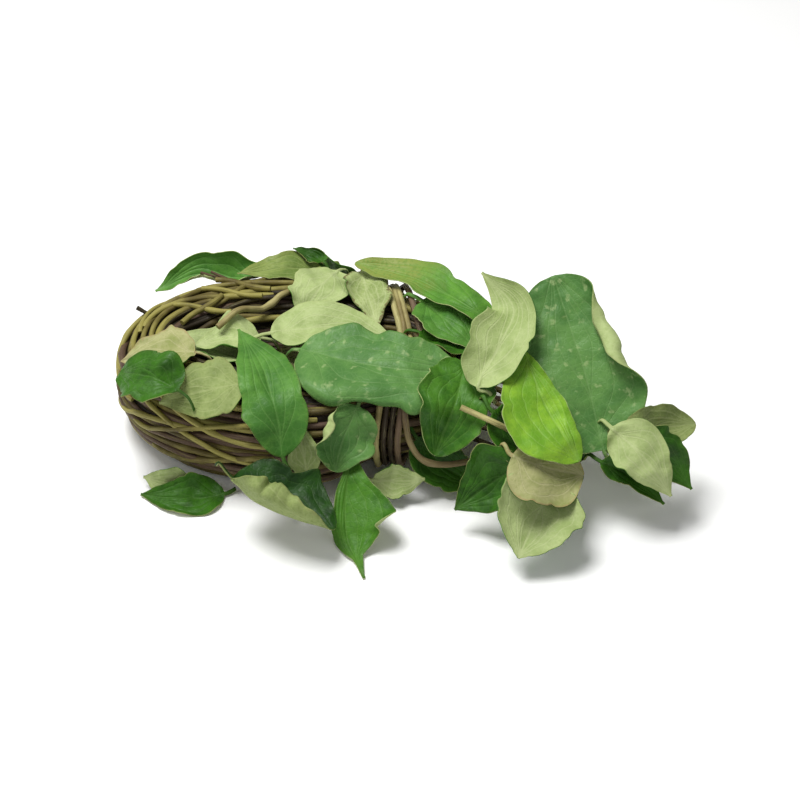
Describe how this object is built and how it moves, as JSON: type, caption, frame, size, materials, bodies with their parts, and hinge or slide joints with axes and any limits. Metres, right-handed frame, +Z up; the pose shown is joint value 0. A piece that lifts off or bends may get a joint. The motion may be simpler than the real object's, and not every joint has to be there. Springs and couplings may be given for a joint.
{
  "type": "bunch of uziza vines",
  "caption": "Bunch of climbing pepper vines, wound lengthwise into a long hank of stems, tied round its waist, with half-dried curled leaves all over it.",
  "frame": {"origin": "on the surface that the bunch lies on, under the centre of its bounding box", "axes": "+X along the hank towards its leafy end, -Y towards the side that most leaves hang over, +Z up"},
  "size_m": [0.3078, 0.236, 0.1009],
  "materials": {
    "vine_stem": "matt, half-dried olive-brown stem",
    "stem_tan": "matt, dried tan stem",
    "stem_brown": "matt, purple-brown stem",
    "leaf_green": "satin leaf, mid green, sunken veins",
    "leaf_dark": "satin leaf, dark green",
    "leaf_blue_green": "satin leaf, blue-green, small pale spots",
    "leaf_pale": "matt grey-green underside of a leaf",
    "leaf_tan": "matt, dried pale leaf",
    "leaf_olive": "satin leaf, yellowing olive",
    "leaf_lime": "satin leaf, lime green"
  },
  "bodies": {
    "root": {"leaf_back_hook": "leaf_dark", "leaf_back_left_curled": "leaf_green", "leaf_back_long": "leaf_olive", "leaf_back_olive": "leaf_olive", "leaf_back_pale": "leaf_pale", "leaf_back_spotted": "leaf_pale", "leaf_back_under": "leaf_green", "leaf_end_dark": "leaf_dark", "leaf_end_far_pale": "leaf_pale", "leaf_end_pale": "leaf_pale", "leaf_end_under": "leaf_dark", "leaf_front_behind": "leaf_dark", "leaf_front_blue": "leaf_blue_green", "leaf_front_hanging": "leaf_green", "leaf_front_right_dark": "leaf_dark", "leaf_front_right_pale": "leaf_tan", "leaf_front_right_tip": "leaf_pale", "leaf_front_small_pale": "leaf_pale", "leaf_front_trough": "leaf_dark", "leaf_front_under_tie": "leaf_pale", "leaf_left_dark": "leaf_dark", "leaf_left_far_pale": "leaf_pale", "leaf_left_floor": "leaf_dark", "leaf_left_floor_pale": "leaf_pale", "leaf_left_near_pale": "leaf_pale", "leaf_left_tan": "leaf_tan", "leaf_middle_broad": "leaf_blue_green", "leaf_middle_draped": "leaf_green", "leaf_middle_pale": "leaf_pale", "leaf_rear_across": "leaf_pale", "leaf_rear_end": "leaf_pale", "leaf_rear_left": "leaf_green", "leaf_rear_low": "leaf_dark", "leaf_rear_right": "leaf_green", "leaf_rear_right_low": "leaf_pale", "leaf_rear_waist": "leaf_blue_green", "leaf_right_big": "leaf_blue_green", "leaf_right_folded": "leaf_pale", "leaf_right_inner": "leaf_dark", "leaf_right_lime": "leaf_lime", "leaf_right_under": "leaf_dark", "leaf_valley_left": "leaf_pale", "leaf_valley_middle": "leaf_tan", "leaf_valley_right": "leaf_dark", "leaf_waist_wrinkled": "leaf_green", "stem_back_top": "stem_tan", "stem_end": "stem_brown", "stem_front": "stem_brown", "stem_hollow": "stem_tan", "stem_right": "vine_stem", "tie_vine": "stem_tan", "wound_vines": "vine_stem"}
  },
  "joints": []
}
